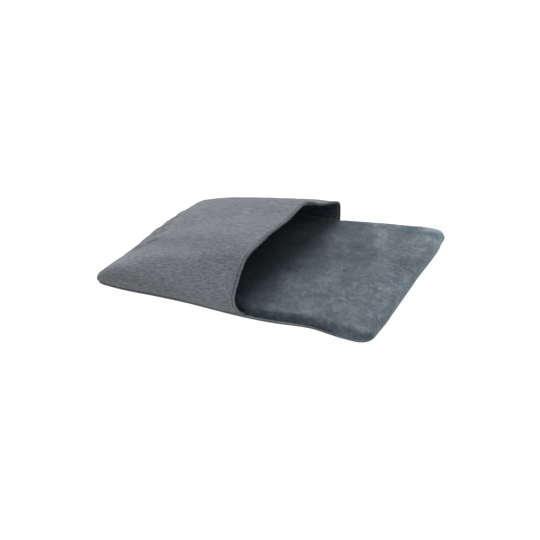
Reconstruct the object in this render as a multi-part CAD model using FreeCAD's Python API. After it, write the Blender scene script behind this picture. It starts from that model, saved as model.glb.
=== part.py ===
import FreeCAD, Part
import math
import os

# Hooded pocket cushion: a padded mat with a lined cloth hood sewn over its closed end.
# +X runs from the closed end to the open end, +Y to the back, +Z up. The underside lies on z = 0.

# Mat, mm
LENGTH = 560.0          # closed end to open end
CLOSED_WIDTH = 448.0    # across the closed end
OPEN_WIDTH = 535.0      # across the open end
CLOSED_CORNER_R = 20.0
OPEN_CORNER_R = 32.0
MAT_HEIGHT = 26.0
MAT_EDGE_R = 14.0       # rounding of the mat's upper edge
UNDERSIDE_EDGE_R = 3.0

# Cloth and filling thicknesses
WOVEN = 1.2
VELVET = 1.4
HOOD_WADDING = 3.0
MAT_WADDING = 6.0

# Seam round the rim
RIM_HEIGHT = 3.6        # how far the base cloth turns up
WELT_TOP = 6.0          # top of the folded seam, where the hood stands
WELT_PROUD = 1.0        # how far the welt's bead stands out past the base cloth
HOOD_FOOT = 2 * WOVEN + HOOD_WADDING
SEAM_GAP = 0.2          # between the hood's lining and the mat's side

# Hood
MOUTH_X = 43.0          # where the hood's open edge stands
END_HEIGHT = 36.0       # hood's height where it leaves the closed end
END_DROP = 14.0         # how far its end wall stops below that, for a soft edge
RISE_POWER = 1.9        # how early the hood gains its height
STATIONS = (-258.0, -225.0, -180.0, -120.0, -50.0, 10.0, MOUTH_X, MOUTH_X + 10.0)

# Bound mouth and threads
BINDING = 0.8
BINDING_WIDTH = 8.0
STITCH_LENGTH = 4.5
STITCH_PITCH = 7.5
THREAD_R = 0.45
THREAD_GAP = 0.25       # between a thread and the cloth beside it
RIM_STITCH_PITCH = 16.0
TACK_HEIGHT = 9.0
TACK_THICKNESS = 1.2
TACK_LENGTH = 5.0

X_AXIS = FreeCAD.Vector(1, 0, 0)
Z_AXIS = FreeCAD.Vector(0, 0, 1)

# The hood's control sections, front foot to back foot, as (share of the half width, height)
CLOSED_SECTION = [
    (-1.00, WELT_TOP), (-1.00, 0.50 * END_HEIGHT), (-0.985, 0.80 * END_HEIGHT),
    (-0.90, 0.93 * END_HEIGHT), (-0.50, END_HEIGHT), (0.10, END_HEIGHT), (0.40, END_HEIGHT),
    (0.70, 0.97 * END_HEIGHT), (0.93, 0.93 * END_HEIGHT), (1.00, 0.75 * END_HEIGHT),
    (1.00, WELT_TOP),
]
MOUTH_SECTION = [
    (-1.00, WELT_TOP), (-1.06, 36.0), (-1.05, 88.0), (-0.93, 121.0), (-0.50, 123.0),
    (0.12, 127.0), (0.40, 101.0), (0.66, 83.0), (0.92, 71.0), (1.00, 58.0), (1.00, WELT_TOP),
]


def half_width(x):
    share = (x + LENGTH / 2) / LENGTH
    return (CLOSED_WIDTH + (OPEN_WIDTH - CLOSED_WIDTH) * share) / 2


def rounded_wire(corners, radii, z):
    """Closed wire through the corners, in order, each rounded by its own radius."""
    cuts = []
    for i, corner in enumerate(corners):
        before = (corners[i - 1] - corner).normalize()
        after = (corners[(i + 1) % len(corners)] - corner).normalize()
        half_turn = before.getAngle(after) / 2
        reach = radii[i] / math.tan(half_turn)
        middle = (before + after).normalize()
        tip = corner + middle * (radii[i] / math.sin(half_turn) - radii[i])
        cuts.append((corner + before * reach, tip, corner + after * reach))
    lift = Z_AXIS * z
    edges = []
    for i, (start, tip, end) in enumerate(cuts):
        edges.append(Part.Arc(start + lift, tip + lift, end + lift).toShape())
        following = cuts[(i + 1) % len(cuts)][0]
        edges.append(Part.LineSegment(end + lift, following + lift).toShape())
    return Part.Wire(edges)


def outline(inset, z):
    """The mat's plan outline, moved inwards by inset, at height z."""
    x0 = -LENGTH / 2 + inset
    x1 = LENGTH / 2 - inset
    slant = math.atan((OPEN_WIDTH - CLOSED_WIDTH) / 2 / LENGTH)
    y0 = half_width(x0) - inset / math.cos(slant)
    y1 = half_width(x1) - inset / math.cos(slant)
    corners = [
        FreeCAD.Vector(x0, -y0, 0), FreeCAD.Vector(x1, -y1, 0),
        FreeCAD.Vector(x1, y1, 0), FreeCAD.Vector(x0, y0, 0),
    ]
    closed_r = CLOSED_CORNER_R - inset
    open_r = OPEN_CORNER_R - inset
    return rounded_wire(corners, [closed_r, open_r, open_r, closed_r], z)


def slab(inset, z0, z1, top_r=0.0, bottom_r=0.0):
    """Block with the mat's outline and rounded upper and lower edges."""
    body = Part.Face(outline(inset, z0)).extrude(Z_AXIS * (z1 - z0))
    for z, radius in ((z1, top_r), (z0, bottom_r)):
        if radius > 0:
            rim = [e for e in body.Edges if abs(e.BoundBox.ZMin - z) + abs(e.BoundBox.ZMax - z) < 1e-3]
            body = body.makeFillet(radius, rim)
    return body


def base_cloth():
    """Woven underside, turned up round the rim."""
    outside = slab(0, 0, RIM_HEIGHT, bottom_r=UNDERSIDE_EDGE_R)
    inside = slab(WOVEN, WOVEN, RIM_HEIGHT + 1, bottom_r=UNDERSIDE_EDGE_R - WOVEN)
    return outside.cut(inside)


def rim_welt():
    """Folded seam allowance inside the rim, with a bead that shows above the base cloth."""
    bead = slab(-WELT_PROUD, RIM_HEIGHT, WELT_TOP, top_r=WELT_PROUD, bottom_r=WELT_PROUD)
    allowance = slab(WOVEN, WOVEN, WELT_TOP, bottom_r=UNDERSIDE_EDGE_R - WOVEN)
    hole = slab(mat_inset() + VELVET, 0, WELT_TOP + 1)
    return bead.fuse(allowance).cut(hole).removeSplitter()


def mat_inset():
    return HOOD_FOOT + SEAM_GAP


def top_cloth():
    """Velvet upper face of the mat, down its sides to the seam."""
    inset = mat_inset()
    outside = slab(inset, WELT_TOP, MAT_HEIGHT, top_r=MAT_EDGE_R)
    inside = slab(inset + VELVET, WELT_TOP - 1, MAT_HEIGHT - VELVET, top_r=MAT_EDGE_R - VELVET)
    return outside.cut(inside)


def filling(depth):
    """The mat's inside, less depth all round."""
    inset = mat_inset() + VELVET + depth
    radius = MAT_EDGE_R - VELVET - depth
    return slab(inset, WOVEN + depth, MAT_HEIGHT - VELVET - depth, top_r=radius)


def wadding_wrap():
    return filling(0).cut(filling(MAT_WADDING))


def foam_core():
    return filling(MAT_WADDING)


def inset_section(points, inset):
    """Section points moved inwards by inset; the two feet stay at their height."""
    moved = []
    last = len(points) - 1
    for i, point in enumerate(points):
        before = points[max(i - 1, 0)]
        after = points[min(i + 1, last)]
        along = (after - before).normalize()
        inwards = FreeCAD.Vector(0, along.z, -along.y)
        if i in (0, last):
            inwards = FreeCAD.Vector(0, math.copysign(1, along.z), 0)
        moved.append(point + inwards * inset)
    return moved


def hood_section(x, width, rise, inset):
    """Control points of the hood at x, between the closed and the mouth section."""
    points = []
    for low, high in zip(CLOSED_SECTION, MOUTH_SECTION):
        y = width * (low[0] + (high[0] - low[0]) * rise)
        z = low[1] + (high[1] - low[1]) * rise
        points.append(FreeCAD.Vector(x, y, z))
    return inset_section(points, inset)


def rise_at(x):
    share = min(1.0, (x + LENGTH / 2) / (MOUTH_X + LENGTH / 2))
    return 1 - (1 - share) ** RISE_POWER


def clamped_knots(count):
    """Multiplicities and knots of a clamped cubic with this many poles."""
    inner = count - 4
    return [4] + [1] * inner + [4], list(range(inner + 2))


def dome(inset):
    """Solid under the hood's surface moved inwards by inset, from the closed end past the mouth."""
    x0 = -LENGTH / 2 + inset
    lowered = -END_DROP / (MOUTH_SECTION[4][1] - END_HEIGHT)
    rows = [
        hood_section(x0, half_width(x0) - CLOSED_CORNER_R, lowered, inset),
        hood_section(x0, half_width(x0), lowered / 2, inset),
    ]
    rows += [hood_section(x, half_width(x), rise_at(x), inset) for x in STATIONS]
    u_mults, u_knots = clamped_knots(len(rows))
    v_mults, v_knots = clamped_knots(len(rows[0]))
    for row in rows:
        row[0].z = WELT_TOP
        row[-1].z = WELT_TOP
    surface = Part.BSplineSurface()
    surface.buildFromPolesMultsKnots(rows, u_mults, v_mults, u_knots, v_knots, False, False, 3, 3)
    end_arch = surface.uIso(u_knots[0]).toShape()
    mouth_arch = surface.uIso(u_knots[-1]).toShape()
    front_foot = surface.vIso(v_knots[0]).toShape()
    back_foot = surface.vIso(v_knots[-1]).toShape()
    end_line = Part.LineSegment(rows[0][0], rows[0][-1]).toShape()
    mouth_line = Part.LineSegment(rows[-1][0], rows[-1][-1]).toShape()
    faces = [
        surface.toShape(),
        Part.Face(Part.Wire([end_arch, end_line])),
        Part.Face(Part.Wire([mouth_arch, mouth_line])),
        Part.Face(Part.Wire(Part.__sortEdges__([front_foot, mouth_line, back_foot, end_line]))),
    ]
    shell = Part.makeShell(faces)
    shell.sewShape()
    solid = Part.makeSolid(shell)
    if solid.Volume < 0:
        solid.reverse()
    return solid


def slice_box(x0, x1):
    """Box between two planes across the mat, larger than the hood."""
    return Part.makeBox(x1 - x0, 2 * OPEN_WIDTH, 2 * LENGTH, FreeCAD.Vector(x0, -OPEN_WIDTH, -LENGTH))


def hood_layer(outer_inset, inner_inset):
    """One layer of the hood, open at the mouth and underneath."""
    layer = dome(outer_inset).cut(dome(inner_inset))
    return layer.common(slice_box(-LENGTH, MOUTH_X))


def mouth_binding():
    """Strip folded over the three layers' edges at the mouth."""
    band = dome(-BINDING).cut(dome(HOOD_FOOT + BINDING))
    band = band.common(slice_box(MOUTH_X - BINDING_WIDTH, MOUTH_X + BINDING))
    layers = dome(0).cut(dome(HOOD_FOOT)).common(slice_box(-LENGTH, MOUTH_X))
    band = band.cut(layers)
    return band.cut(slab(mat_inset(), 0, MAT_HEIGHT, top_r=MAT_EDGE_R))


def stitch(start, end):
    """One thread stitch from start to end."""
    return Part.makeCylinder(THREAD_R, (end - start).Length, start, end - start)


def mouth_topstitch():
    """Row of stitches on the outside of the mouth binding."""
    clearance = BINDING + THREAD_R + THREAD_GAP
    x = MOUTH_X - BINDING_WIDTH / 2
    wire = dome(-clearance).slice(X_AXIS, x)[0]
    points = wire.discretize(Distance=STITCH_PITCH)
    stitches = []
    for here, following in zip(points, points[1:]):
        step = following - here
        low = min(here.z, following.z)
        if low > WELT_TOP + TACK_HEIGHT + STITCH_PITCH:
            stitches.append(stitch(here, here + step * (STITCH_LENGTH / step.Length)))
    return Part.makeCompound(stitches)


def rim_stitching():
    """Row of stitches round the rim, in the groove under the welt's bead."""
    z = RIM_HEIGHT - THREAD_R - THREAD_GAP
    wire = outline(-THREAD_R - THREAD_GAP, z)
    points = wire.discretize(Distance=RIM_STITCH_PITCH)
    stitches = []
    for here, following in zip(points, points[1:]):
        along = (following - here).normalize()
        stitches.append(stitch(here, here + along * STITCH_LENGTH))
    return Part.makeCompound(stitches)


def mouth_bar_tacks():
    """Dense thread blocks that hold the two ends of the mouth to the rim."""
    tacks = []
    x = MOUTH_X - BINDING_WIDTH / 2 - TACK_LENGTH / 2
    inner = BINDING + THREAD_GAP
    block = dome(-inner - TACK_THICKNESS).cut(dome(-inner))
    block = block.common(slice_box(x, x + TACK_LENGTH))
    for side in (-1, 1):
        corner = FreeCAD.Vector(-LENGTH, 0 if side > 0 else -OPEN_WIDTH, WELT_TOP)
        region = Part.makeBox(2 * LENGTH, OPEN_WIDTH, TACK_HEIGHT, corner)
        tacks += block.common(region).Solids
    return Part.makeCompound(tacks)


def main():
    os.makedirs("parts", exist_ok=True)
    lining_start = WOVEN + HOOD_WADDING
    nodes = {
        "base_cloth": base_cloth(),
        "rim_welt": rim_welt(),
        "top_cloth": top_cloth(),
        "wadding_wrap": wadding_wrap(),
        "foam_core": foam_core(),
        "hood_outer_cloth": hood_layer(0, WOVEN),
        "hood_wadding": hood_layer(WOVEN, lining_start),
        "hood_lining": hood_layer(lining_start, HOOD_FOOT),
        "mouth_binding": mouth_binding(),
        "mouth_topstitch": mouth_topstitch(),
        "rim_stitching": rim_stitching(),
        "mouth_bar_tacks": mouth_bar_tacks(),
    }
    for name, shape in nodes.items():
        print(name, "solids", len(shape.Solids), "volume", round(shape.Volume), "valid", shape.isValid())
        shape.exportStep("parts/" + name + ".step")


main()
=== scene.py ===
import math

import bpy
import numpy as np
from mathutils.bvhtree import BVHTree
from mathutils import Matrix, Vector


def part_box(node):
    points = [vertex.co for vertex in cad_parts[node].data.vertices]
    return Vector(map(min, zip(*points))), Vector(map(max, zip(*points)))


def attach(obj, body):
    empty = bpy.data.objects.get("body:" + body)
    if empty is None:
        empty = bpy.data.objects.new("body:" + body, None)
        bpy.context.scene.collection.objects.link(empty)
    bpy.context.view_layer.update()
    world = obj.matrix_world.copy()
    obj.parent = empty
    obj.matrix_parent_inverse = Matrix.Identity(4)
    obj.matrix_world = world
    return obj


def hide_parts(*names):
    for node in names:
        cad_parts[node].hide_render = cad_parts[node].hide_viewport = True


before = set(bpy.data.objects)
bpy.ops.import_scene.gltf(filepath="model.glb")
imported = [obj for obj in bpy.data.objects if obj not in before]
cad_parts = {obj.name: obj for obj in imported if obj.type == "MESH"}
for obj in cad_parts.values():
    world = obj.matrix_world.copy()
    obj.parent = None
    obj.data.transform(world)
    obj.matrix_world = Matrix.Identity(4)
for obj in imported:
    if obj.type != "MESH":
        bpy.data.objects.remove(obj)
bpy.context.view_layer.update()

# A hooded pocket cushion. +X runs from the closed end to the open end, +Y to the back, +Z up.
# Lengths are in metres.
base_low, base_high = (np.array(corner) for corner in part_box("base_cloth"))
hood_high = np.array(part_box("hood_outer_cloth")[1])
mat_high = np.array(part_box("top_cloth")[1])
X_CLOSED, X_OPEN = base_low[0], base_high[0]
MOUTH_X = hood_high[0]
MAT_Z = mat_high[2]
RIM_Z = base_high[2]
CLOSED_HALF = 0.224     # the mat's half width at each end
OPEN_HALF = 0.2675
CLOSED_CORNER_R = 0.010
OPEN_CORNER_R = 0.027
SEAM_Z = 0.006          # where the hood is sewn to the rim
END_BULGE = 0.007       # how far the hood rolls over the closed end's seam
RIM_POINTS = 720        # points round the rim in every piece that follows it
LEDGE = 0.0002          # the velvet's least height over the base cloth
LAYER_LOW = 0.0003      # the hood's layers reach no lower than this

# Camera: level, 70 mm lens, at the front and to the right of the open end
CAMERA_PLACE = (0.766, -1.760, 0.8215)
CAMERA_PITCH = 23.54
CAMERA_YAW = 24.04
CAMERA_LENS = 70.0

# Light: an even glow all round, a broad lamp high at the back over the closed end, and a
# weak one at the front left. A lamp is its name, strength, spread and turn in degrees.
WORLD_LIGHT = 0.11
FLOOR_GLOW = 1.00
LAMPS = [
    ("soft_top_light", 3.35, 48, (-38, -14, 0)),
    ("soft_front_light", 1.45, 75, (44, -4, 0)),
]

# Cloth thicknesses
WOVEN = 0.0008
HOOD_WADDING = 0.0013
LINING = 0.0009
HOOD_TOTAL = WOVEN + HOOD_WADDING + LINING
BASE_THICK = 0.0012
WRAP_DEPTH = 0.0035     # from the velvet's face to the wadding's
MAT_WADDING = 0.0040    # from the wadding's face to the foam's
PAD_GAP = 0.0004        # between the padding and the base cloth under it and round it
HOOD_GAP = 0.0010       # between the lining and the velvet that it comes down to
PRESS_FLOOR = 0.008     # the hood presses no part of the mat lower than this

# Filling of the velvet cover by the cloth simulation
COVER_VOXEL = 0.005
COVER_PRESSURE = 5.0
COVER_HELD_Z = 0.007    # the cover is held below this height
SWELL_CAP = 0.0030      # how far the simulation may push the cover out
SINK_CAP = 0.0010       # how far it may draw the cover in
FACE_SLACK = 0.04       # share of the swelling that a face turned straight up keeps
SIM_FRAMES = 20
SMOOTHING_ROUNDS = 14
FILLING_VOXEL = 0.006

# Hem and thread
STITCH_LINE = 0.0034    # the topstitch's distance back from the hem's edge
STITCH_PITCH = 0.0042
STITCH_LENGTH = 0.0037
TOPSTITCH_R = 0.00070
RIM_THREAD_R = 0.00028
TACK_R = 0.00032
THREAD_RINGS, THREAD_SIDES = 5, 6       # points along and round one stitch
HEM_MARGIN = 0.020      # bare hem before the first and after the last topstitch
BEHIND_ROWS = 5         # rows back from the mouth that give the hem's direction


# -------- helpers

def hump(x, centre, width):
    """Smooth bump of height 1."""
    return np.exp(-((x - centre) / width) ** 2)


def ease(x, start, end):
    """0 before start, 1 after end, smooth between."""
    share = np.clip((x - start) / (end - start), 0, 1)
    return share * share * (3 - 2 * share)


def wander(seed, x, y, size_x, size_y=None):
    """Smooth random height from -1 to 1 over a plane, with bumps about size_x by size_y."""
    cells = 61
    lattice = np.random.default_rng(seed).uniform(-1, 1, (cells, cells))
    origin_x, origin_y = 17.3, 11.7     # where the plan's origin lies on the lattice
    gx = x / size_x + origin_x
    gy = y / (size_y or size_x) + origin_y
    ix, iy = np.floor(gx).astype(int), np.floor(gy).astype(int)
    fx, fy = ease(gx - ix, 0, 1), ease(gy - iy, 0, 1)

    def corner(i, j):
        return lattice[(ix + i) % cells, (iy + j) % cells]

    near = corner(0, 0) * (1 - fx) + corner(1, 0) * fx
    far = corner(0, 1) * (1 - fx) + corner(1, 1) * fx
    return near * (1 - fy) + far * fy


def travelled_along(line):
    """Distance from the first point of a line to each of its points."""
    return np.concatenate([[0], np.cumsum(np.linalg.norm(np.diff(line, axis=0), axis=1))])


def unit(vectors):
    """Vectors scaled to length 1, along the last axis."""
    return vectors / np.linalg.norm(vectors, axis=-1, keepdims=True)


def spline_weights(poles, samples):
    """Matrix that turns the poles of a clamped cubic spline into evenly spaced samples."""
    knots = np.concatenate([[0] * 3, np.arange(poles - 2), [poles - 3] * 3]).astype(float)
    at = np.linspace(0, poles - 3, samples)
    weights = ((at[:, None] >= knots[:-1]) & (at[:, None] < knots[1:])).astype(float)
    weights[-1, poles - 1] = 1
    for degree in (1, 2, 3):
        following = np.zeros((samples, weights.shape[1] - 1))
        for i in range(following.shape[1]):
            rise = knots[i + degree] - knots[i]
            fall = knots[i + degree + 1] - knots[i + 1]
            if rise > 0:
                following[:, i] += (at - knots[i]) / rise * weights[:, i]
            if fall > 0:
                following[:, i] += (knots[i + degree + 1] - at) / fall * weights[:, i + 1]
        weights = following
    return weights


def new_piece(name, points, faces):
    """Mesh object from points and faces, smooth shaded."""
    mesh = bpy.data.meshes.new(name)
    mesh.from_pydata([tuple(p) for p in points], [], [tuple(int(i) for i in f) for f in faces])
    mesh.validate()
    mesh.shade_smooth()
    piece = bpy.data.objects.new(name, mesh)
    bpy.context.scene.collection.objects.link(piece)
    return piece


def strip_faces(rows, columns, wrap_rows=False, wrap_columns=False, flip=False):
    """Quads between the neighbours of a rows by columns grid of points."""
    r = np.arange(rows if wrap_rows else rows - 1)
    c = np.arange(columns if wrap_columns else columns - 1)
    r, c = np.meshgrid(r, c, indexing="ij")
    r1, c1 = (r + 1) % rows, (c + 1) % columns
    quads = np.stack([r * columns + c, r1 * columns + c, r1 * columns + c1, r * columns + c1], -1)
    quads = quads.reshape(-1, 4)
    return quads[:, ::-1] if flip else quads


def write_cloth_coordinates(piece, coordinates):
    """Stores where each point lies on the flat cloth, for the weave to follow."""
    layer = piece.data.attributes.new("cloth", "FLOAT_VECTOR", "POINT")
    flat = np.zeros((len(piece.data.vertices), 3))
    flat[:, :coordinates.shape[1]] = coordinates
    layer.data.foreach_set("vector", flat.ravel())


def points_of(piece):
    points = np.empty(len(piece.data.vertices) * 3)
    piece.data.vertices.foreach_get("co", points)
    return points.reshape(-1, 3)


def set_points(piece, points):
    piece.data.vertices.foreach_set("co", np.ascontiguousarray(points).ravel())
    piece.data.update()


def apply_modifier(piece, modifier):
    bpy.context.view_layer.objects.active = piece
    bpy.ops.object.select_all(action="DESELECT")
    piece.select_set(True)
    bpy.ops.object.modifier_apply(modifier=modifier.name)


def remesh(piece, voxel):
    """Applied voxel remesh, for small even faces."""
    modifier = piece.modifiers.new("remesh", "REMESH")
    modifier.mode = "VOXEL"
    modifier.voxel_size = voxel
    modifier.use_smooth_shade = True
    apply_modifier(piece, modifier)


def grid_normals(grid):
    """Unit normals of a grid of points, on the side that u cross v leaves."""
    return unit(np.cross(np.gradient(grid, axis=0), np.gradient(grid, axis=1)))


# -------- the mat's outline

def half_width(x):
    return CLOSED_HALF + (OPEN_HALF - CLOSED_HALF) * (x - X_CLOSED) / (X_OPEN - X_CLOSED)


def front_edge(x):
    """Half width to the front: drawn in before the open corner, full beside the closed one."""
    full = 0.0078 * hump(x, -0.225, 0.075) * ease(x, -0.284, -0.260)
    full += 0.0030 * hump(x, 0.020, 0.060)
    return half_width(x) + full - 0.0145 * hump(x, 0.168, 0.055)


def back_edge(x):
    """Half width to the back: drawn in where the hood ends."""
    drawn = -0.012 * hump(x, 0.060, 0.075) + 0.001 * ease(x, 0.050, 0.120)
    return half_width(x) + drawn + 0.0045 * hump(x, 0.222, 0.03)


def open_edge(y):
    """How far the open end stands out: full to the front, drawn in at the back corner."""
    return 0.0055 * hump(y, -0.180, 0.110) - 0.0075 * hump(y, 0.245, 0.060)


def rim_outline(count):
    """Evenly spaced points round the rim and their outward normals, from the front left corner."""
    corners = [
        (X_CLOSED, -1, CLOSED_CORNER_R, 180), (X_OPEN, -1, OPEN_CORNER_R, 270),
        (X_OPEN, 1, OPEN_CORNER_R, 0), (X_CLOSED, 1, CLOSED_CORNER_R, 90),
    ]
    line = []
    for x, side, radius, start in corners:
        centre_x = x + radius * (1 if x == X_CLOSED else -1)
        centre_y = side * (half_width(centre_x) - radius)
        for angle in np.radians(np.linspace(start, start + 90, 13)):
            line.append((centre_x + radius * math.cos(angle), centre_y + radius * math.sin(angle)))
    line = np.array(line + line[:1])
    travelled = travelled_along(line)
    at = np.linspace(0, travelled[-1], count, endpoint=False)
    x = np.interp(at, travelled, line[:, 0])
    y = np.interp(at, travelled, line[:, 1])
    edge = np.where(y < 0, front_edge(x), back_edge(x))
    y = y * edge / half_width(x)
    x = x + open_edge(y) * ease(x, 0.18, X_OPEN)
    points = np.stack([x, y], 1)
    along = np.roll(points, -1, axis=0) - np.roll(points, 1, axis=0)
    return points, unit(np.stack([along[:, 1], -along[:, 0]], 1))


def rim_drop(x):
    """Share of the rim's height: full beside the mouth, less where the padding rolls over it."""
    return 0.92 - 0.64 * ease(-x, -0.02, 0.20) - 0.50 * ease(x, 0.10, 0.25)


def rim_tuck(x):
    """How far the seam is drawn in under the padding towards the open end."""
    return 0.0065 * ease(x, 0.19, 0.275)


def ring(rim, normals, inset, z):
    """Rim moved inwards by inset, at height z; both may vary round the rim."""
    inset = np.broadcast_to(inset, len(rim))
    z = np.broadcast_to(z, len(rim))
    flat = rim - normals * inset[:, None]
    return np.column_stack([flat, z])


def shrunk(loop, share, z):
    """Ring scaled towards the mat's middle."""
    inner = loop.copy()
    inner[:, :2] *= share
    inner[:, 2] = z
    return inner


def ring_piece(name, rings, cloth=False):
    """Closed form through a stack of rings, closed at both ends by a fan."""
    count = len(rings[0])
    points = np.concatenate(rings)
    faces = [tuple(q) for q in strip_faces(len(rings), count, wrap_columns=True, flip=True)]
    last = (len(rings) - 1) * count
    faces.append(tuple(range(count)))
    faces.append(tuple(range(last + count - 1, last - 1, -1)))
    piece = new_piece(name, points, faces)
    if cloth:
        write_cloth_coordinates(piece, points[:, :2])
    return piece


# -------- wrinkles

# Single wrinkles: start and end on the plan, height (below 0 is a crease) and width
VELVET_WRINKLES = [
    ((0.164, -0.062), (0.167, -0.142), -0.0013, 0.0035),
    ((0.152, -0.136), (0.172, -0.154), 0.0013, 0.0045),
    ((0.190, -0.086), (0.232, -0.080), 0.0012, 0.0030),
    ((0.188, -0.034), (0.206, -0.032), 0.0012, 0.0030),
    ((0.206, 0.042), (0.240, 0.028), 0.0014, 0.0040),
    ((0.238, 0.028), (0.264, 0.002), 0.0012, 0.0040),
    ((0.214, -0.022), (0.244, -0.038), 0.0013, 0.0035),
    ((0.244, -0.038), (0.268, -0.076), 0.0012, 0.0035),
    ((0.236, -0.080), (0.276, -0.102), 0.0012, 0.0030),
    ((0.180, -0.150), (0.198, -0.160), 0.0014, 0.0045),
    ((0.202, -0.154), (0.216, -0.144), -0.0012, 0.0050),
    ((0.225, -0.190), (0.218, -0.222), -0.0010, 0.0045),
    ((0.232, -0.206), (0.262, -0.240), -0.0014, 0.0060),
    ((0.120, -0.060), (0.150, -0.020), 0.0008, 0.0050),
    ((0.205, 0.120), (0.250, 0.108), 0.0008, 0.0040),
    ((0.130, 0.080), (0.160, 0.100), -0.0007, 0.0045),
]
END_FOLDS = [
    ((-0.190, -0.098), (-0.268, -0.146), 0.0026, 0.0044),
    ((-0.204, -0.083), (-0.270, -0.125), -0.0018, 0.0042),
    ((-0.208, -0.050), (-0.272, -0.090), 0.0026, 0.0044),
    ((-0.212, -0.026), (-0.272, -0.064), 0.0020, 0.0042),
    ((-0.220, -0.004), (-0.274, -0.040), 0.0022, 0.0042),
    ((-0.212, 0.050), (-0.276, 0.012), 0.0020, 0.0046),
    ((-0.232, 0.110), (-0.278, 0.076), 0.0016, 0.0050),
]


def wrinkles(x, y, lines):
    """Height of single wrinkles, each a soft ridge or crease along a short line."""
    height = np.zeros_like(x)
    for start, end, rise, width in lines:
        along = np.array(end) - np.array(start)
        length = np.linalg.norm(along)
        along /= length
        travelled = (x - start[0]) * along[0] + (y - start[1]) * along[1]
        aside = (y - start[1]) * along[0] - (x - start[0]) * along[1]
        aside = aside + 0.0020 * np.sin(travelled * 190)
        fade = ease(travelled, -0.004, 0.3 * length) * ease(length - travelled, -0.004, 0.3 * length)
        height += rise * fade * (hump(aside, 0, width) - 0.5 * hump(aside, 1.8 * width, width))
    return height


# -------- pieces of the mat

def make_base_cloth():
    """Woven underside with its rim turned up."""
    rim, normals = rim_outline(RIM_POINTS)
    low = rim_drop(rim[:, 0])
    wave = 0.0004 * wander(3, rim[:, 0], rim[:, 1], 0.03)
    top = RIM_Z * low + wave
    rim = rim - normals * rim_tuck(rim[:, :1])
    # the turned-up rim, outside and then inside: distance in from the outline, height
    profile = [
        (0.004, 0.0), (0.0012, 0.0004), (0.0, 0.0018), (-0.0002, 0.5 * top), (0.0, top - 0.0004),
        (0.0006, top), (0.0012, top - 0.0004), (0.0014, 0.5 * top), (0.0024, 0.0016),
        (0.004, BASE_THICK),
    ]
    turned_up = [ring(rim, normals, inset, z) for inset, z in profile]
    shares = (0.02, 0.25, 0.5, 0.75, 0.92, 0.98)
    rings = [shrunk(turned_up[0], share, 0.0) for share in shares] + turned_up
    rings += [shrunk(turned_up[-1], share, BASE_THICK) for share in reversed(shares)]
    return ring_piece("base_cloth_sheet", rings, cloth=True)


def make_rim_welt():
    """Folded bead of woven cloth that closes the seam all round."""
    rim, normals = rim_outline(RIM_POINTS)
    low = rim_drop(rim[:, 0])
    wobble = wander(5, rim[:, 0] + rim[:, 1], rim[:, 1] - rim[:, 0], 0.018)
    rim = rim - normals * rim_tuck(rim[:, :1])
    radius = 0.0013 * (0.45 + 0.54 * low) * (1 + 0.12 * wobble)
    centre_z = RIM_Z * low + radius + 0.0002 + 0.0002 * wobble
    rows = []
    for angle in np.linspace(0, 2 * math.pi, 12, endpoint=False):
        inset = 0.0012 - radius * math.cos(angle) * 1.25
        rows.append(ring(rim, normals, inset, centre_z + radius * math.sin(angle)))
    grid = np.stack(rows)
    faces = strip_faces(len(rows), len(rim), wrap_rows=True, wrap_columns=True)
    piece = new_piece("rim_welt_bead", grid.reshape(-1, 3), faces)
    round_rim = np.arange(len(rim)) * 0.003
    across = np.arange(len(rows)) * 0.0008
    cloth = np.stack(np.broadcast_arrays(round_rim[None, :], across[:, None]), -1)
    write_cloth_coordinates(piece, cloth.reshape(-1, 2))
    return piece


def under_hood(x):
    """1 where the hood stands over the mat's edge, 0 on the bare half."""
    return 1 - ease(x, MOUTH_X - 0.004, MOUTH_X + 0.020)


def pad_rings(depth):
    """Rings of the padded mat's skin, moved inwards by depth.

    Each lift is how far its ring stands in from the rim and its share of the side's height.
    """
    rim, normals = rim_outline(RIM_POINTS)
    x = rim[:, 0]
    inset = 0.0012 + 0.0055 * under_hood(x) + depth
    foot = RIM_Z * rim_drop(x) + PAD_GAP
    bottom = BASE_THICK + PAD_GAP + depth
    top = MAT_Z - 0.0035 - depth
    side = 1 - 0.5 * min(1, depth / 0.006)
    first = ring(rim, normals, inset + 0.004, bottom)
    rings = [shrunk(first, s, bottom) for s in (0.02, 0.3, 0.6, 0.85)]
    rings.append(first)
    rings.append(ring(rim, normals, inset + 0.0008, np.maximum(bottom, 0.6 * foot)))
    lifts = [(0.0, 0.10), (-0.0012 * side, 0.30), (-0.0006 * side, 0.52), (0.0018, 0.74),
             (0.0055, 0.90), (0.0105, 0.97), (0.0165, 1.0)]
    start = np.maximum(bottom, foot)
    for extra, share in lifts:
        rings.append(ring(rim, normals, inset + extra, start + (top - start) * share))
    last = rings[-1]
    rings += [shrunk(last, s, top) for s in (0.85, 0.6, 0.3, 0.02)]
    return rings


def evened_out(piece, values, rounds):
    """Values at the piece's points, averaged with their neighbours' in each round."""
    edges = np.empty(2 * len(piece.data.edges), int)
    piece.data.edges.foreach_get("vertices", edges)
    start, end = edges.reshape(-1, 2).T
    shares = 1 + np.bincount(edges, minlength=len(values))[:, None]
    for _ in range(rounds):
        total = values.copy()
        np.add.at(total, start, values[end])
        np.add.at(total, end, values[start])
        values = total / shares
    return values


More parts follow.
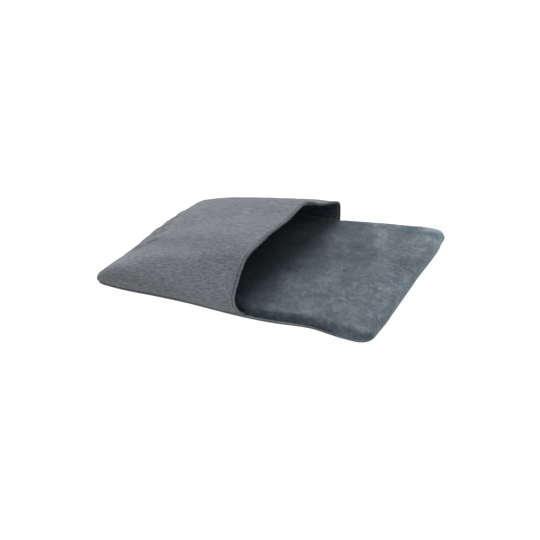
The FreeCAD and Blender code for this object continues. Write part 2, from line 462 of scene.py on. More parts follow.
def inflate(piece):
    """Cloth simulation that fills the piece like a stuffed cover, then is applied.

    Only a small, evened-out part of its movement is kept, so that the flat faces stay flat.
    """
    remesh(piece, COVER_VOXEL)
    before = points_of(piece)
    normals = np.empty_like(before)
    piece.data.vertices.foreach_get("normal", normals.reshape(-1))
    group = piece.vertex_groups.new(name="held")
    for index in np.flatnonzero(before[:, 2] < COVER_HELD_Z):
        group.add([int(index)], 1.0, "REPLACE")
    cloth = piece.modifiers.new("cloth", "CLOTH")
    settings = cloth.settings
    settings.quality = 6
    settings.mass = 0.3
    settings.tension_stiffness = 12
    settings.compression_stiffness = 12
    settings.bending_stiffness = 0.6
    settings.use_pressure = True
    settings.uniform_pressure_force = COVER_PRESSURE
    settings.shrink_min = -0.012
    settings.vertex_group_mass = group.name
    settings.effector_weights.gravity = 0
    cloth.point_cache.frame_start = 1
    cloth.point_cache.frame_end = SIM_FRAMES
    scene = bpy.context.scene
    for step in range(1, SIM_FRAMES + 1):
        scene.frame_set(step)
    apply_modifier(piece, cloth)
    scene.frame_set(1)
    moved = evened_out(piece, points_of(piece) - before, SMOOTHING_ROUNDS)
    upwards = np.maximum(0, normals[:, 2])
    outwards = (moved * normals).sum(axis=1)
    sunk = np.median(outwards[upwards > 0.9])
    firm = 1 - (1 - FACE_SLACK) * upwards ** 2
    kept = np.clip((outwards - sunk * upwards) * firm, -SINK_CAP, SWELL_CAP)
    moved += normals * (kept - outwards)[:, None]
    length = np.linalg.norm(moved, axis=1, keepdims=True)
    set_points(piece, before + moved * np.minimum(1, SWELL_CAP / np.maximum(length, 1e-9)))


def pressed(points, hood, clearance):
    """Points lowered where the hood lies closer over them than the clearance allows."""
    lowered = points.copy()
    above_all = 0.3
    for index in np.flatnonzero((points[:, 0] < MOUTH_X) & (points[:, 2] > PRESS_FLOOR)):
        x, y, z = points[index]
        hit = hood.ray_cast((x, y, above_all), (0, 0, -1))[0]
        if hit is not None:
            lowered[index, 2] = min(z, max(PRESS_FLOOR, hit.z - clearance))
    return lowered


def edge_tucks(x, y, seed, count, reach, spacing):
    """Shallow folds that run in from the open end's seam."""
    rng = np.random.default_rng(seed)
    height = np.zeros_like(x)
    place = -0.22
    for _ in range(count):
        place += spacing * rng.uniform(0.6, 1.4)
        lean = rng.uniform(-0.25, 0.45)
        length = reach * rng.uniform(0.5, 1.3)
        width = rng.uniform(0.0035, 0.007)
        inwards = X_OPEN - x
        line = place + lean * inwards
        fade = np.exp(-((inwards - 0.4 * length) / (0.6 * length)) ** 2)
        height -= rng.uniform(0.5, 1.0) * fade * hump(y, line, width)
    return height


def velvet_relief(x, y):
    """Height of the mat's soft dents and folds over its even surface."""
    height = 0.0016 * wander(21, x, y, 0.09) + 0.0005 * wander(22, x, y, 0.030, 0.030)
    height += 0.0007 * edge_tucks(x, y, 23, 22, 0.045, 0.020)
    height += 0.85 * wrinkles(x, y, VELVET_WRINKLES)
    return height


def make_top_cloth(hood):
    """Velvet cover of the mat: inflated a little, flat below, then dented and folded."""
    piece = ring_piece("top_cloth_pad", pad_rings(0.0))
    inflate(piece)
    subdivision = piece.modifiers.new("smooth", "SUBSURF")
    subdivision.levels = 1
    apply_modifier(piece, subdivision)
    points = points_of(piece)
    face = ease(points[:, 2], 0.016, 0.023)
    points[:, 2] += face * velvet_relief(points[:, 0], points[:, 1])
    points[:, 2] = np.maximum(points[:, 2], BASE_THICK + LEDGE)
    set_points(piece, pressed(points, hood, HOOD_TOTAL + HOOD_GAP))
    piece.data.shade_smooth()
    return piece


def make_filling(name, depth, hood):
    """Wadding or foam inside the mat: a smaller pad with the same dents."""
    piece = ring_piece(name, pad_rings(depth))
    remesh(piece, FILLING_VOXEL)
    points = points_of(piece)
    face = ease(points[:, 2], 0.013, 0.018)
    points[:, 2] += face * velvet_relief(points[:, 0], points[:, 1])
    set_points(piece, pressed(points, hood, HOOD_TOTAL + HOOD_GAP + depth))
    piece.data.shade_smooth()
    return piece


# -------- the hood's surface

# Control sections, front foot to back foot: share of the half width, height,
# and for the mouth how far the hem stands back from the mouth's plane
CLOSED_SECTION = np.array([
    (-0.985, 0.002), (-1.016, 0.005), (-1.012, 0.015), (-0.975, 0.022), (-0.910, 0.0212),
    (-0.750, 0.0236), (-0.500, 0.0220), (-0.250, 0.0294), (0.000, 0.0335), (0.200, 0.0333),
    (0.450, 0.0330), (0.700, 0.0300), (0.930, 0.0300), (0.995, 0.0180), (0.985, 0.002),
])
MOUTH_SECTION = np.array([
    (-0.984, 0.004, 0.000), (-1.049, 0.0114, 0.003), (-1.096, 0.0349, 0.014),
    (-1.044, 0.0678, 0.009), (-0.954, 0.1147, 0.004), (-0.763, 0.1173, 0.001),
    (-0.502, 0.1229, 0.000), (-0.249, 0.1161, 0.000), (-0.048, 0.1237, 0.000),
    (0.177, 0.1279, 0.000), (0.457, 0.0942, 0.000), (0.713, 0.0803, 0.000),
    (0.960, 0.0655, 0.000), (0.982, 0.0500, 0.000), (0.962, 0.004, 0.000),
])
STATIONS = np.array([-0.268, -0.245, -0.215, -0.180, -0.120, -0.050, 0.005, MOUTH_X])
RISE_POWER = 1.9        # over 1, the hood rises fast from its closed end and levels off
END_DROP = 0.014        # how much lower the roof is where it rolls over the closed end
HOOD_ROWS, HOOD_COLUMNS = 130, 340


def hood_section(x, rise, width_loss=0.0):
    """Control points of the hood at x: rise 0 is the closed end, 1 the mouth."""
    share = CLOSED_SECTION[:, 0] + (MOUTH_SECTION[:, 0] - CLOSED_SECTION[:, 0]) * rise
    z = CLOSED_SECTION[:, 1] + (MOUTH_SECTION[:, 1] - CLOSED_SECTION[:, 1]) * rise
    width = np.where(share < 0, front_edge(x), back_edge(x)) - width_loss
    back = MOUTH_SECTION[:, 2] * max(rise, 0) ** 4
    z[0] = z[-1] = 0.0015 + 0.0025 * max(rise, 0)
    return np.stack([x - back, width * share, z], 1)


def hood_surface():
    """Grid of points on the hood's even outer surface, closed end to mouth, front to back."""
    x0 = X_CLOSED + 0.0015
    roof = 6    # a control point under the hood's roof
    drop = -END_DROP / (MOUTH_SECTION[roof, 1] - CLOSED_SECTION[roof, 1])
    seam = hood_section(x0, 0.0, CLOSED_CORNER_R)
    seam[:, 2] = np.minimum(seam[:, 2], SEAM_Z)
    rolled = hood_section(x0 - END_BULGE, drop)
    net = [seam, rolled]
    for x in STATIONS:
        share = (x - X_CLOSED) / (MOUTH_X - X_CLOSED)
        net.append(hood_section(x, 1 - (1 - share) ** RISE_POWER))
    net = np.stack(net)
    rows = spline_weights(len(net), HOOD_ROWS)
    columns = spline_weights(net.shape[1], HOOD_COLUMNS)
    grid = np.einsum("ru,uvk,cv->rck", rows, net, columns)
    return evened(evened(grid, 0), 1)


def row_lengths(grid):
    """Distance of each point from the first row's, by way of the rows between."""
    steps = np.linalg.norm(np.diff(grid, axis=0), axis=2)
    return np.concatenate([np.zeros((1, grid.shape[1])), np.cumsum(steps, axis=0)])


def evened(grid, axis):
    """The grid with its points evenly spaced by length along one axis."""
    grid = np.moveaxis(grid, axis, 0)
    travelled = row_lengths(grid)
    result = np.empty_like(grid)
    for j in range(grid.shape[1]):
        at = np.linspace(0, travelled[-1, j], len(grid))
        for k in range(3):
            result[:, j, k] = np.interp(at, travelled[:, j], grid[:, j, k])
    return np.moveaxis(result, 0, axis)


def surface_lengths(grid):
    """Distance back from the mouth, and round the section from the front foot, of each point."""
    along = row_lengths(grid)
    return along[-1:] - along, row_lengths(np.moveaxis(grid, 1, 0)).T


def hem_puckers(back, around):
    """Short grooves that the hem's stitches pull into the cloth."""
    rng = np.random.default_rng(41)
    total = around[-1].max()
    height = np.zeros_like(back)
    place = 0.03
    while place < total - 0.03:
        depth = rng.uniform(0.30, 1.0)
        length = rng.uniform(0.008, 0.022)
        width = rng.uniform(0.0022, 0.0034)
        lean = rng.uniform(-0.35, 0.35)
        fade = np.exp(-(back / length) ** 2)
        height -= depth * fade * hump(around - lean * back, place, width)
        height += 0.45 * depth * fade * hump(around - lean * back, place + 2.2 * width, 1.6 * width)
        place += rng.uniform(0.010, 0.019)
    return height


def end_gathers(grid):
    """Tucks where the hood is eased into the closed end's seam, slanting to the back."""
    rng = np.random.default_rng(43)
    x, y = grid[..., 0], grid[..., 1]
    inwards = x - X_CLOSED
    height = np.zeros_like(x)
    place = -0.215
    while place < 0.20:
        length = rng.uniform(0.030, 0.065)
        width = rng.uniform(0.005, 0.010)
        lean = rng.uniform(0.5, 1.9) - 2.0 * ease(place, 0.0, 0.18)
        fade = np.exp(-((inwards - 0.022) / length) ** 2)
        height += rng.uniform(-0.7, 1.0) * fade * hump(y - lean * inwards, place, width)
        place += rng.uniform(0.016, 0.030)
    return height


def front_dents(grid):
    """Creases and one pinch in the hood's front face."""
    x, y, z = grid[..., 0], grid[..., 1], grid[..., 2]
    front = ease(-y, 0.13, 0.17)
    leaning = x + 0.119 - 0.35 * (z - 0.044)
    height = -0.0030 * hump(leaning, 0, 0.0052) * hump(z, 0.044, 0.010)
    height += 0.0028 * hump(leaning, 0.0110, 0.0060) * hump(z, 0.048, 0.010)
    height += 0.0016 * hump(x, -0.190, 0.020) * hump(z, 0.024, 0.004)
    height -= 0.0016 * hump(x, -0.205, 0.022) * hump(z, 0.016, 0.004)
    return height * front


def hood_relief(grid):
    """Height of the hood's folds, dents and slack over its even surface."""
    back, around = surface_lengths(grid)
    x, y = grid[..., 0], grid[..., 1]
    pulled = 0.35 + 0.65 * hump(y, -0.09, 0.13)
    height = 0.0020 * pulled * hem_puckers(back, around) + 0.0016 * end_gathers(grid)
    height += 0.0018 * wander(44, x, around, 0.10, 0.12) + 0.0007 * wander(45, x, around, 0.035, 0.05)
    height += 0.00022 * wander(46, x, around, 0.011, 0.008)
    height += front_dents(grid) + wrinkles(x, y, END_FOLDS)
    valley = 0.122 + 0.16 * (-0.080 - x)
    height -= 0.0042 * hump(x, -0.110, 0.095) * hump(around, valley, 0.026)
    height += 0.0020 * hump(x, -0.100, 0.085) * hump(around, 0.058, 0.018)
    height -= 0.0028 * hump(x, -0.075, 0.090) * hump(y, 0.205, 0.060)
    feet = ease(around, 0.0, 0.02) * ease(around[:, -1:] - around, 0.0, 0.02)
    return height * feet


def lining_sag(grid):
    """How far the lining hangs loose below the wadding: a fold inside the mouth's back half."""
    back, _ = surface_lengths(grid)
    y = grid[..., 1]
    inside = ease(back, 0.006, 0.016) * (1 - ease(back, 0.030, 0.080))
    return 0.0075 * inside * hump(y, 0.055, 0.035) + 0.0030 * inside * hump(y, 0.150, 0.030)


def hood_layer(name, grid, normals, outer_depth, inner_depth, step=1, cut=0):
    """One layer of the hood as a closed thin shell between two depths below the surface."""
    last = grid.shape[0] - cut
    rows = np.unique(np.append(np.arange(0, last, step), last - 1))
    columns = np.unique(np.append(np.arange(0, grid.shape[1], step), grid.shape[1] - 1))
    pick = np.ix_(rows, columns)
    outer = (grid - normals * outer_depth)[pick]
    inner = (grid - normals * inner_depth)[pick]
    nr, nc = len(rows), len(columns)
    count = nr * nc
    faces = [strip_faces(nr, nc), strip_faces(nr, nc, flip=True) + count]
    index = np.arange(count).reshape(nr, nc)
    sides = ((index[0], False), (index[-1], True), (index[:, 0], True), (index[:, -1], False))
    for edge, flip in sides:
        quads = np.stack([edge[:-1], edge[1:], edge[1:] + count, edge[:-1] + count], 1)
        faces.append(quads[:, ::-1] if flip else quads)
    points = np.concatenate([outer.reshape(-1, 3), inner.reshape(-1, 3)])
    points[:, 2] = np.maximum(points[:, 2], LAYER_LOW)
    piece = new_piece(name, points, np.concatenate(faces))
    back, around = surface_lengths(grid)
    from_middle = around - 0.5 * around[:, -1:]
    cloth = np.stack([back[pick], from_middle[pick], around[pick]], -1).reshape(-1, 3)
    write_cloth_coordinates(piece, np.concatenate([cloth, cloth]))
    return piece


# -------- the mouth

# The binding's section: distance back from the edge, depth below the outer cloth's face
BINDING_SECTION = [
    (0.0085, -0.0003), (0.0064, -0.0004), (0.0034, -0.0002), (0.0026, -0.0005), (0.0016, -0.0009),
    (0.0004, -0.0010), (-0.0006, -0.0006), (-0.0010, 0.0003), (-0.0006, 0.0011), (-0.0001, 0.0015),
    (-0.0006, 0.0019), (-0.0010, 0.0026), (-0.0007, 0.0033), (0.0004, 0.0037), (0.0030, 0.0037),
    (0.0070, 0.0036), (0.0085, 0.0033), (0.0085, 0.0031), (0.0030, 0.0031), (0.0006, 0.0031),
    (0.0003, 0.0015), (0.0006, -0.0001), (0.0030, -0.0001), (0.0085, -0.0001),
]


def backwards_from_hem(grid):
    """Unit directions from the hem's edge back along the hood."""
    return unit(grid[-1 - BEHIND_ROWS] - grid[-1])


def make_binding(grid, normals):
    """Cloth strip folded over the layers' edges, swept along the mouth."""
    edge = grid[-1]
    backwards = backwards_from_hem(grid)
    out = normals[-1]
    along = np.linspace(0, 1, len(edge))
    roll = 1 + 0.15 * wander(51, along * 0.75, along * 0, 0.012)
    rows = []
    for back, depth in BINDING_SECTION:
        swell = roll if back < 0.0035 and depth < 0 else np.ones_like(roll)
        rows.append(edge + backwards * (back * swell)[:, None] - out * (depth * swell)[:, None])
    grid_points = np.stack(rows)
    nr, nc = grid_points.shape[:2]
    faces = [tuple(q) for q in strip_faces(nr, nc, wrap_rows=True, flip=True)]
    faces.append(tuple(r * nc for r in range(nr)))
    faces.append(tuple(r * nc + nc - 1 for r in range(nr - 1, -1, -1)))
    piece = new_piece("mouth_binding_strip", grid_points.reshape(-1, 3), faces)
    across = np.arange(nr) * 0.001
    cloth = np.stack(np.broadcast_arrays(across[:, None], travelled_along(edge)[None, :]), -1)
    write_cloth_coordinates(piece, cloth.reshape(-1, 2))
    return piece


def capsule_points(start, end, normal, radius):
    """Points of one rounded stitch from start to end, squashed along normal."""
    along = end - start
    side = unit(np.cross(normal, along))
    points = []
    for t in np.linspace(0, 1, THREAD_RINGS):
        swell = radius * math.sin(math.pi * (0.12 + 0.76 * t)) ** 0.5
        for angle in np.linspace(0, 2 * math.pi, THREAD_SIDES, endpoint=False):
            offset = side * math.cos(angle) + normal * math.sin(angle) * 0.7
            points.append(start + along * t + offset * swell)
    return np.array(points)


def stitch_piece(name, stitches, radius):
    """All stitches of a row as one mesh of separate threads."""
    quads = strip_faces(THREAD_RINGS, THREAD_SIDES, wrap_columns=True)
    per_stitch = THREAD_RINGS * THREAD_SIDES
    points, faces = [], []
    for number, (start, end, normal) in enumerate(stitches):
        first = number * per_stitch
        last = first + per_stitch
        points.append(capsule_points(start, end, normal, radius))
        faces += [tuple(q + first) for q in quads]
        faces.append(tuple(range(first, first + THREAD_SIDES)))
        faces.append(tuple(range(last - 1, last - THREAD_SIDES - 1, -1)))
    return new_piece(name, np.concatenate(points), faces)


def make_mouth_topstitch(grid, normals):
    """Stitches a little back from the hem, on the cloth of the binding."""
    line = grid[-1] + backwards_from_hem(grid) * STITCH_LINE + normals[-1] * 0.0006
    distance = travelled_along(line)
    stitches = []
    for start in np.arange(HEM_MARGIN, distance[-1] - HEM_MARGIN, STITCH_PITCH):
        near, far = (
            np.array([np.interp(d, distance, line[:, k]) for k in range(3)])
            for d in (start, start + STITCH_LENGTH)
        )
        column = int(np.searchsorted(distance, start))
        stitches.append((near, far, normals[-2, column]))
    return stitch_piece("mouth_topstitch_thread", stitches, TOPSTITCH_R)


def make_rim_stitching():
    """Stitches in the groove between the base cloth and the welt."""
    rim, normals = rim_outline(RIM_POINTS)
    stitches = []
    for i in range(0, len(rim), 2):
        z = RIM_Z * rim_drop(rim[i, 0]) + 0.0001
        out = np.array([normals[i, 0], normals[i, 1], 0])
        following = rim[(i + 1) % len(rim)]
        start = np.array([rim[i, 0], rim[i, 1], z]) + out * 0.0002
        end = np.array([following[0], following[1], z]) + out * 0.0002
        stitches.append((start, start + (end - start) * 0.9, out))
    return stitch_piece("rim_stitching_thread", stitches, RIM_THREAD_R)


def make_bar_tacks(grid, normals):
    """Close zigzag of thread over each end of the binding."""
    count, columns = 12, 5
    stitches = []
    for first, step in ((6, 1), (HOOD_COLUMNS - 7, -1)):
        for k in range(count):
            share = k / count * columns
            column = first + step * int(share)
            near, far = grid[-1, column], grid[-4, column]
            shift = (grid[-1, column + step] - near) * (share - int(share))
            lift = normals[-2, column] * 0.0009
            start = near + (far - near) * 0.15 + shift + lift
            end = near + (far - near) * 0.95 + shift + lift
            stitches.append((start, end, normals[-2, column]))
    return stitch_piece("mouth_bar_tacks_thread", stitches, TACK_R)


# -------- materials

NAP_TURN = -0.42         # the direction in which the velvet's pile was brushed


class Shader:
    """Small helper that adds and links nodes of one material."""

    def __init__(self, name):
        self.material = bpy.data.materials.new(name)
        self.material.use_nodes = True
        self.tree = self.material.node_tree
        self.tree.nodes.clear()
        self.surface = self.add("ShaderNodeBsdfPrincipled")
        output = self.add("ShaderNodeOutputMaterial")
        self.put(self.surface.outputs[0], output.inputs[0])

    def put(self, value, socket):
        """Gives an input a plain value, or links another node's output to it."""
        if isinstance(value, bpy.types.NodeSocket):
            self.tree.links.new(value, socket)
        else:
            socket.default_value = value

    def add(self, kind, inputs=None, **settings):
        """New node with its settings and its inputs, which go by name or number."""
        node = self.tree.nodes.new(kind)
        for key, value in settings.items():
            setattr(node, key, value)
        for key, value in (inputs or {}).items():
            self.put(value, node.inputs[key])
        return node

    def object_place(self):
        return self.add("ShaderNodeTexCoord").outputs["Object"]

    def scaled(self, vector, scale, turn=0.0):
        inputs = {"Vector": vector, "Scale": scale, "Rotation": (0, 0, turn)}
        return self.add("ShaderNodeMapping", inputs).outputs[0]

    def turned(self, vector, turn, scale):
        """Coordinates turned about Z first and stretched afterwards."""
        return self.scaled(self.scaled(vector, (1, 1, 1), turn), scale)

    def noise(self, vector, scale, detail=2.0, roughness=0.5, distortion=0.0):
        inputs = {"Vector": vector, "Scale": scale, "Detail": detail,
                  "Roughness": roughness, "Distortion": distortion}
        return self.add("ShaderNodeTexNoise", inputs).outputs["Fac"]

    def ramp(self, value, stops):
        """Colour ramp through stops, each a place and a colour."""
        node = self.add("ShaderNodeValToRGB", {0: value})
        while len(node.color_ramp.elements) < len(stops):
            node.color_ramp.elements.new(0.5)
        for element, (place, colour) in zip(node.color_ramp.elements, stops):
            element.position = place
            element.color = (*colour, 1)
        return node.outputs["Color"]

    def shares(self, value, stops):
        """Ramp of plain greys, to darken a colour by."""
        return self.ramp(value, [(place, (share, share, share)) for place, share in stops])

    def math(self, operation, a, b):
        return self.add("ShaderNodeMath", {0: a, 1: b}, operation=operation).outputs[0]

    def total(self, parts):
        """Sum of values, each times its share."""
        terms = [self.math("MULTIPLY", value, share) for value, share in parts]
        total = terms[0]
        for term in terms[1:]:
            total = self.math("ADD", total, term)
        return total

    def tinted(self, colour, by):
        """One colour times another."""
        node = self.add("ShaderNodeMix", {0: 1.0}, data_type="RGBA", blend_type="MULTIPLY")
        self.put(colour, node.inputs[6])
        self.put(by, node.inputs[7])
        return node.outputs[2]

    def bump(self, height, strength, distance, below=None):
        inputs = {"Height": height, "Strength": strength, "Distance": distance}
        if below:
            inputs["Normal"] = below
        return self.add("ShaderNodeBump", inputs).outputs[0]

    def finish(self, colour, normal=None, roughness=0.9, sheen=0.0, specular=0.2, tint=(1, 1, 1)):
        inputs = {"Base Color": colour, "Roughness": roughness, "Specular IOR Level": specular,
                  "Sheen Weight": sheen, "Sheen Roughness": 0.45, "Sheen Tint": (*tint, 1)}
        if normal:
            inputs["Normal"] = normal
        for key, value in inputs.items():
            self.put(value, self.surface.inputs[key])
        return self.material


def woven_material(name="heather_woven_cloth", lighter=1.0, painted=False):
    """Plain weave of heather-grey yarn: slubs along weft and warp, flecks and a fine bump.

    On the hood, two ramps paint broad light and shade: by the distance round the section from
    the front foot (painted shade at the foot and higher up the front, painted light between),
    and by the distance back from the mouth (painted light towards the closed end).
    """
    shader = Shader(name)
    place = shader.add("ShaderNodeAttribute", attribute_name="cloth").outputs["Vector"]
    weft = shader.noise(shader.scaled(place, (85, 390, 1)), 1.0, 2.0, 0.6)
    warp = shader.noise(shader.scaled(place, (480, 190, 1)), 1.0, 2.0, 0.6)
    flecks = shader.noise(place, 900.0, 2.0, 0.7)
    cloud = shader.noise(shader.scaled(place, (16, 26, 1)), 1.0, 4.0, 0.65)
    yarn = shader.total([(weft, 0.64), (warp, 0.36)])
    tone = shader.total([(yarn, 0.85), (flecks, 0.15)])
    shades = [(0.36, (0.100, 0.106, 0.117)), (0.47, (0.158, 0.165, 0.179)),
              (0.55, (0.194, 0.202, 0.216)), (0.68, (0.290, 0.299, 0.312))]
    shades = [(at, tuple(c * lighter for c in colour)) for at, colour in shades]
    colour = shader.ramp(tone, shades)
    patchy = shader.ramp(cloud, [(0.32, (0.84, 0.85, 0.87)), (0.68, (1.0, 1.0, 1.0))])
    colour = shader.tinted(colour, patchy)
    if painted:
        spot = shader.add("ShaderNodeSeparateXYZ", {0: place})
        # painted shade and light round the section: darker at the front foot, lighter a little above
        # it, darker again higher up the front
        painted_shade_round = [(0.0, 0.62), (0.034, 0.73), (0.064, 1.0), (0.098, 0.96), (0.125, 0.85),
                (0.155, 0.73), (0.195, 0.89)]
        # painted light: lighter towards the closed end, by the distance back from the mouth
        painted_light_near_end = [(0.24, 0.82), (0.33, 1.0)]
        for socket, stops in (("Z", painted_shade_round), ("X", painted_light_near_end)):
            colour = shader.tinted(colour, shader.shares(spot.outputs[socket], stops))
    threads = []
    for axis in "XY":
        inputs = {"Vector": place, "Scale": 250.0, "Distortion": 0.6, "Detail Scale": 0.4}
        wave = shader.add("ShaderNodeTexWave", inputs, bands_direction=axis)
        threads.append(wave.outputs["Fac"])
    weave = shader.math("MULTIPLY", threads[0], threads[1])
    normal = shader.bump(weave, 0.35, 0.0004)
    normal = shader.bump(tone, 0.50, 0.0016, normal)
    return shader.finish(colour, normal, 0.92, sheen=0.08, specular=0.15, tint=(0.88, 0.94, 1.0))


def velvet_material(name="smoky_blue_velvet", with_painted_light=True):
    """Short pile: brush-marked patches, finger marks and a fine nap, with a soft sheen.

    On the mat, three ramps paint broad light and shade: painted light along the back edge,
    a painted shadow of the hood darker towards the mouth, and painted shade low on the sides.
    The colour under them is raised by full to make room for them.
    """
    shader = Shader(name)
    place = shader.object_place()
    patches = shader.noise(shader.turned(place, NAP_TURN, (16, 9, 40)), 1.0, 3.0, 0.55, 0.6)
    marks = shader.noise(shader.turned(place, NAP_TURN, (84, 42, 170)), 1.0, 4.0, 0.62, 0.8)
    nap = shader.noise(shader.turned(place, NAP_TURN, (400, 210, 500)), 1.0, 2.0, 0.6)
    pile = shader.noise(place, 900.0, 2.0, 0.6)
    tone = shader.total([(patches, 0.34), (marks, 0.42), (nap, 0.24)])
    low, mid, high = (0.056, 0.077, 0.099), (0.114, 0.147, 0.178), (0.226, 0.273, 0.310)
    full = 2.75 if with_painted_light else 1.0
    stops = [(0.38, low), (0.50, mid), (0.62, high)]
    colour = shader.ramp(tone, [(at, tuple(c * full for c in shade)) for at, shade in stops])
    colour = shader.tinted(colour, shader.shares(pile, [(0.25, 0.82), (0.75, 1.0)]))
    if with_painted_light:
        spot = shader.add("ShaderNodeSeparateXYZ", {0: place})
        along, across = spot.outputs["X"], spot.outputs["Y"]
        loose = shader.math("MULTIPLY", patches, 0.15)
        # painted light: lighter along the back edge, its border wandering with the patches
        back = shader.math("ADD", shader.math("MULTIPLY", across, 1.6), loose)
        painted_back_light = shader.ramp(back, [
            (0.10, (0.290, 0.290, 0.290)), (0.34, (0.37, 0.365, 0.36)), (0.42, (0.48, 0.47, 0.46)),
            (0.460, (1.0, 0.96, 0.93)),
        ])
        colour = shader.tinted(colour, painted_back_light)
        # painted shadow of the hood: darker towards the mouth
        slant = shader.math("MULTIPLY", shader.math("MINIMUM", across, 0.10), -0.5)
        slant = shader.math("ADD", along, slant)
        painted_mouth_shadow = shader.ramp(shader.math("ADD", slant, loose), [
            (0.12, (0.41, 0.41, 0.41)), (0.16, (0.49, 0.49, 0.49)), (0.215, (0.66, 0.66, 0.66)),
            (0.275, (0.754, 0.754, 0.754)), (0.34, (0.82, 0.82, 0.82)), (0.45, (1.0, 0.985, 0.96)),
        ])
        colour = shader.tinted(colour, painted_mouth_shadow)
        # painted shade: darker low on the mat's sides
        beyond = shader.math("MAXIMUM", shader.math("SUBTRACT", along, 0.18), 0.0)
        height = shader.math("ADD", spot.outputs["Z"], shader.math("MULTIPLY", beyond, 0.2))
        lifted = shader.math("MULTIPLY", shader.math("MAXIMUM", across, 0.0), 0.06)
        height = shader.math("ADD", height, lifted)
        side = shader.ramp(height, [(0.012, (0.44, 0.44, 0.46)), (0.0228, (1.0, 1.0, 1.0))])
        colour = shader.tinted(colour, side)
    normal = shader.bump(pile, 0.30, 0.0004)
    normal = shader.bump(nap, 0.30, 0.0010, normal)
    normal = shader.bump(marks, 0.30, 0.0030, normal)
    return shader.finish(colour, normal, 0.95, sheen=0.55, specular=0.1, tint=(0.75, 0.86, 0.95))


def wadding_material():
    """White polyester fibres."""
    shader = Shader("white_wadding")
    place = shader.object_place()
    fibres = shader.noise(shader.scaled(place, (300, 900, 300), 0.8), 1.0, 5.0, 0.7, 2.0)
    colour = shader.ramp(fibres, [(0.3, (0.70, 0.70, 0.68)), (0.7, (0.90, 0.90, 0.88))])
    return shader.finish(colour, shader.bump(fibres, 0.8, 0.001), 0.95, sheen=0.2)


def foam_material():
    """Open-celled cream foam."""
    shader = Shader("cream_foam")
    place = shader.object_place()
    cells = shader.add("ShaderNodeTexVoronoi", {"Vector": place, "Scale": 900.0}, feature="F1")
    depth = cells.outputs["Distance"]
    colour = shader.ramp(depth, [(0.1, (0.62, 0.58, 0.46)), (0.6, (0.86, 0.83, 0.70))])
    return shader.finish(colour, shader.bump(depth, 0.6, 0.0008), 0.9)


def thread_material(name="grey_thread", darker=1.0):
    """Twisted sewing thread."""
    shader = Shader(name)
    place = shader.object_place()
    twist = shader.noise(shader.scaled(place, (2500, 2500, 2500)), 1.0, 2.0)
    shades = [(0.3, (0.050, 0.054, 0.062)), (0.7, (0.110, 0.116, 0.128))]
    colour = shader.ramp(twist, [(at, tuple(c * darker for c in shade)) for at, shade in shades])
    return shader.finish(colour, shader.bump(twist, 0.5, 0.0002), 0.6, specular=0.4)


# -------- stage, light, camera

def make_stage():
    """Plain floor, wide enough to fill the view, that glows white by itself."""
    reach, z = 16.0, -0.0005
    corners = [(-reach, -reach, z), (reach, -reach, z), (reach, reach, z), (-reach, reach, z)]
    floor = new_piece("floor", corners, [(0, 1, 2, 3)])
    shader = Shader("pale_floor")
    place = shader.object_place()
    cloud = shader.noise(place, 0.6, 2.0)
    colour = shader.ramp(cloud, [(0.3, (0.10, 0.10, 0.10)), (0.7, (0.11, 0.11, 0.11))])
    material = shader.finish(colour, specular=0.0)
    shader.put((1, 1, 1, 1), shader.surface.inputs["Emission Color"])
    shader.put(FLOOR_GLOW, shader.surface.inputs["Emission Strength"])
    floor.data.materials.append(material)


def make_light():
    """Even pale surroundings and two soft lamps."""
    world = bpy.data.worlds.new("studio")
    world.use_nodes = True
    background = world.node_tree.nodes["Background"]
    background.inputs["Color"].default_value = (0.86, 0.95, 1.0, 1)
    background.inputs["Strength"].default_value = WORLD_LIGHT
    bpy.context.scene.world = world
    for name, energy, spread, turn in LAMPS:
        lamp = bpy.data.lights.new(name, "SUN")
        lamp.energy = energy
        lamp.angle = math.radians(spread)
        holder = bpy.data.objects.new(name, lamp)
        holder.rotation_euler = [math.radians(angle) for angle in turn]
        bpy.context.scene.collection.objects.link(holder)


def make_camera():
    """Level view from the front right, as set above."""
    lens = bpy.data.cameras.new("camera")
    lens.lens = CAMERA_LENS
    lens.clip_start = 0.05
    camera = bpy.data.objects.new("camera", lens)
    camera.location = CAMERA_PLACE
    camera.rotation_euler = (math.radians(90 - CAMERA_PITCH), 0, math.radians(CAMERA_YAW))
    bpy.context.scene.collection.objects.link(camera)
    bpy.context.scene.camera = camera


# -------- assembly

def place_piece(piece, material, slot, *nodes):
    """Gives a piece its material and body, and hides the CAD nodes that it stands for; the slot is
    not used.
    """
    piece.data.materials.append(material)
    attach(piece, "root")
    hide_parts(*nodes)


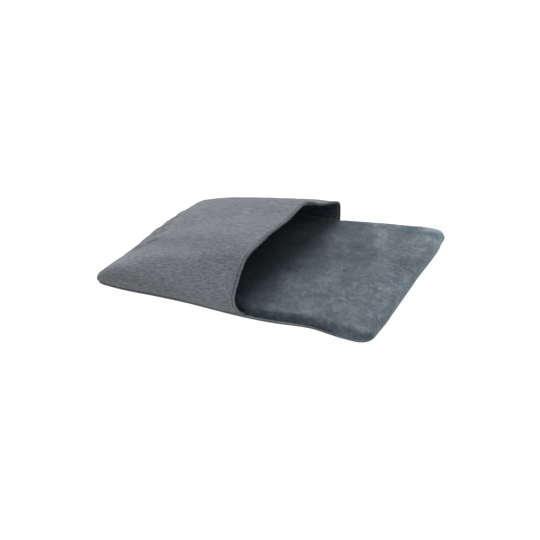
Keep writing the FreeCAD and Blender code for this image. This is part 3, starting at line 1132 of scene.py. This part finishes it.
def main():
    make_stage()
    make_light()
    make_camera()
    bpy.context.scene.view_settings.view_transform = "Standard"

    woven = woven_material()
    # the hood's cloth is drawn 1.42 times lighter to make room for its painted light and shade ramps
    hood_cloth = woven_material("heather_hood_cloth", 1.42, painted=True)
    # the edging is the woven cloth drawn 1.25 times lighter: a painted highlight on the rolled welt
    edging = woven_material("heather_edging_cloth", 1.25)
    velvet = velvet_material()
    lining_velvet = velvet_material("lining_velvet", with_painted_light=False)
    thread = thread_material()
    # the mouth's topstitch thread is drawn near black: partly its own dark colour, partly painted
    # shade of the groove along the hem
    dark_thread = thread_material("dark_thread", 0.15)
    wadding = wadding_material()

    even = hood_surface()
    normals = grid_normals(even)
    surface = even + normals * hood_relief(even)[..., None]
    normals = grid_normals(surface)
    quads = strip_faces(*surface.shape[:2])
    hood = BVHTree.FromPolygons(surface.reshape(-1, 3).tolist(), quads.tolist())

    base = make_base_cloth()
    place_piece(base, woven, "woven_cloth", "base_cloth")
    place_piece(make_rim_welt(), edging, "woven_cloth", "rim_welt")
    place_piece(make_rim_stitching(), thread, "thread", "rim_stitching")
    top = make_top_cloth(hood)
    place_piece(top, velvet, "velvet", "top_cloth")
    wrap = make_filling("wadding_wrap_pad", WRAP_DEPTH, hood)
    place_piece(wrap, wadding, "wadding", "wadding_wrap")
    core = make_filling("foam_core_pad", WRAP_DEPTH + MAT_WADDING, hood)
    place_piece(core, foam_material(), "foam", "foam_core")

    outer = hood_layer("hood_outer_cloth_sheet", surface, normals, 0.0, WOVEN)
    place_piece(outer, hood_cloth, "woven_cloth", "hood_outer_cloth")
    lining_depth = WOVEN + HOOD_WADDING
    filling = hood_layer("hood_wadding_sheet", surface, normals, WOVEN, lining_depth, 2, 1)
    place_piece(filling, wadding, "wadding", "hood_wadding")
    sag = lining_sag(surface)[..., None]
    lining = hood_layer(
        "hood_lining_sheet", surface, normals, lining_depth + sag, HOOD_TOTAL + sag, 2, 1
    )
    place_piece(lining, lining_velvet, "velvet", "hood_lining")
    place_piece(make_binding(surface, normals), woven, "woven_cloth", "mouth_binding")
    place_piece(make_mouth_topstitch(surface, normals), dark_thread, "thread", "mouth_topstitch")
    place_piece(make_bar_tacks(surface, normals), thread, "thread", "mouth_bar_tacks")


main()
